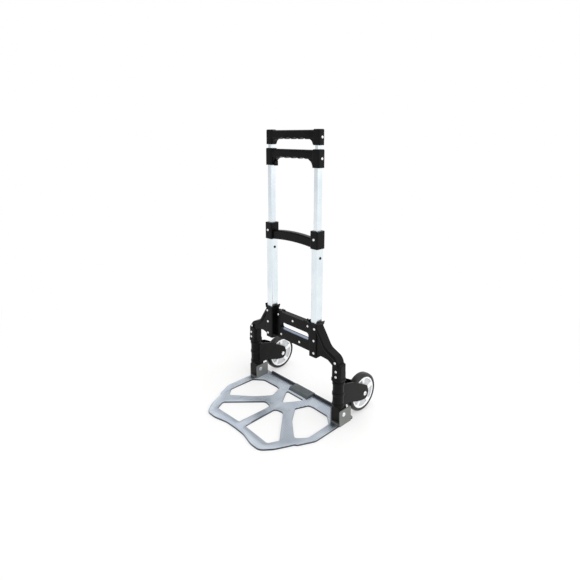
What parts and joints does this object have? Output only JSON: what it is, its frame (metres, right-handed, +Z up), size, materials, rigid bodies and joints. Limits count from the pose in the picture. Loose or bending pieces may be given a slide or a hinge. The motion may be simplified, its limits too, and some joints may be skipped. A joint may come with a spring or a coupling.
{
  "type": "folding hand truck",
  "caption": "Folding hand truck with a windowed toe plate, swivelling wheels and a telescopic handle.",
  "frame": {"origin": "on the floor, in the middle of the object's ground rectangle", "axes": "+Z up along the handle tubes, +Y back towards the wheels, -Y towards the load, +X to the right seen from the load side"},
  "size_m": [0.401, 0.3996, 0.8185],
  "materials": {
    "moulded_nylon": "matte moulded black nylon",
    "fork_coated_steel": "satin moulded black nylon",
    "tube_aluminium": "satin clear anodised",
    "plate_aluminium": "ribbed extrusion, clear anodised",
    "bracket_steel": "grey powder coat",
    "fastener_steel": "bright zinc plate",
    "shaft_steel": "ground steel",
    "edge_strip": "dark powder coat",
    "foot_rubber": "dark grey moulded",
    "tyre_rubber": "black elastomer",
    "hub_plastic": "silver moulded",
    "guide_plastic": "black acetal",
    "button_plastic": "dark moulded"
  },
  "bodies": {
    "frame": {"cross_member_front": "moulded_nylon", "cross_member_rear": "moulded_nylon", "cross_bar": "tube_aluminium", "cross_member_screws": "fastener_steel", "leg_left": "moulded_nylon", "leg_right": "moulded_nylon", "leg_screws": "fastener_steel", "mid_brace": "moulded_nylon", "brace_screws": "fastener_steel", "outer_tube_left": "tube_aluminium", "outer_tube_right": "tube_aluminium", "outer_guides": "guide_plastic", "pivot_shaft_left": "shaft_steel", "pivot_shaft_right": "shaft_steel", "hinge_block_left": "moulded_nylon", "hinge_block_right": "moulded_nylon"},
    "toe_plate": {"toe_plate": "plate_aluminium", "rear_edge_strip": "edge_strip", "stand_foot": "foot_rubber", "plate_bracket_left": "bracket_steel", "plate_bracket_right": "bracket_steel", "bracket_rivets": "fastener_steel", "hinge_pin_left": "fastener_steel", "hinge_pin_right": "fastener_steel"},
    "lower_handle": {"mid_tube_left": "tube_aluminium", "mid_tube_right": "tube_aluminium", "mid_feet": "guide_plastic", "mid_guides": "guide_plastic", "lower_grip": "moulded_nylon", "lower_grip_screws": "fastener_steel"},
    "top_handle": {"inner_tube_left": "tube_aluminium", "inner_tube_right": "tube_aluminium", "inner_feet": "guide_plastic", "top_grip": "moulded_nylon", "top_grip_screws": "fastener_steel"},
    "fork_left": {"fork_left": "fork_coated_steel", "fork_bushes_left": "guide_plastic", "axle_bolt_left": "fastener_steel", "axle_nut_left": "fastener_steel", "axle_spacers_left": "fastener_steel"},
    "wheel_left": {"tyre_left": "tyre_rubber", "wheel_hub_left": "hub_plastic", "wheel_bearings_left": "shaft_steel"},
    "button_left": {"snap_button_left": "button_plastic"},
    "fork_right": {"fork_right": "fork_coated_steel", "fork_bushes_right": "guide_plastic", "axle_bolt_right": "fastener_steel", "axle_nut_right": "fastener_steel", "axle_spacers_right": "fastener_steel"},
    "wheel_right": {"tyre_right": "tyre_rubber", "wheel_hub_right": "hub_plastic", "wheel_bearings_right": "shaft_steel"},
    "button_right": {"snap_button_right": "button_plastic"}
  },
  "joints": [
    {"name": "toe_plate_fold", "type": "hinge", "parent": "frame", "child": "toe_plate", "pos_m": [0, 0.04325, 0.034], "axis": [-1, 0, 0], "range_deg": [0, 90]},
    {"name": "lower_handle_slide", "type": "slide", "parent": "frame", "child": "lower_handle", "axis": [0, 0, 1], "range_m": [-0.165, 0]},
    {"name": "top_handle_slide", "type": "slide", "parent": "lower_handle", "child": "top_handle", "axis": [0, 0, 1], "range_m": [0, 0.165]},
    {"name": "fork_swing_left", "type": "hinge", "parent": "frame", "child": "fork_left", "pos_m": [-0.18075, 0.03875, 0.0945], "axis": [0, 0, -1], "range_deg": [0, 90]},
    {"name": "wheel_spin_left", "type": "hinge", "parent": "fork_left", "child": "wheel_left", "pos_m": [-0.17875, 0.14225, 0.0575], "axis": [1, 0, 0], "continuous": true},
    {"name": "button_press_left", "type": "slide", "parent": "frame", "child": "button_left", "axis": [-1, 0, 0], "range_m": [0, 0.001], "stiffness_N_per_m": 600},
    {"name": "fork_swing_right", "type": "hinge", "parent": "frame", "child": "fork_right", "pos_m": [0.18075, 0.03875, 0.0945], "axis": [0, 0, 1], "range_deg": [0, 90]},
    {"name": "wheel_spin_right", "type": "hinge", "parent": "fork_right", "child": "wheel_right", "pos_m": [0.17875, 0.14225, 0.0575], "axis": [1, 0, 0], "continuous": true},
    {"name": "button_press_right", "type": "slide", "parent": "frame", "child": "button_right", "axis": [-1, 0, 0], "range_m": [0, 0.001], "stiffness_N_per_m": 600}
  ],
  "couplings": [
    {"joint": "fork_swing_left", "follows": "toe_plate_fold", "ratio": 1},
    {"joint": "fork_swing_right", "follows": "toe_plate_fold", "ratio": 1}
  ]
}
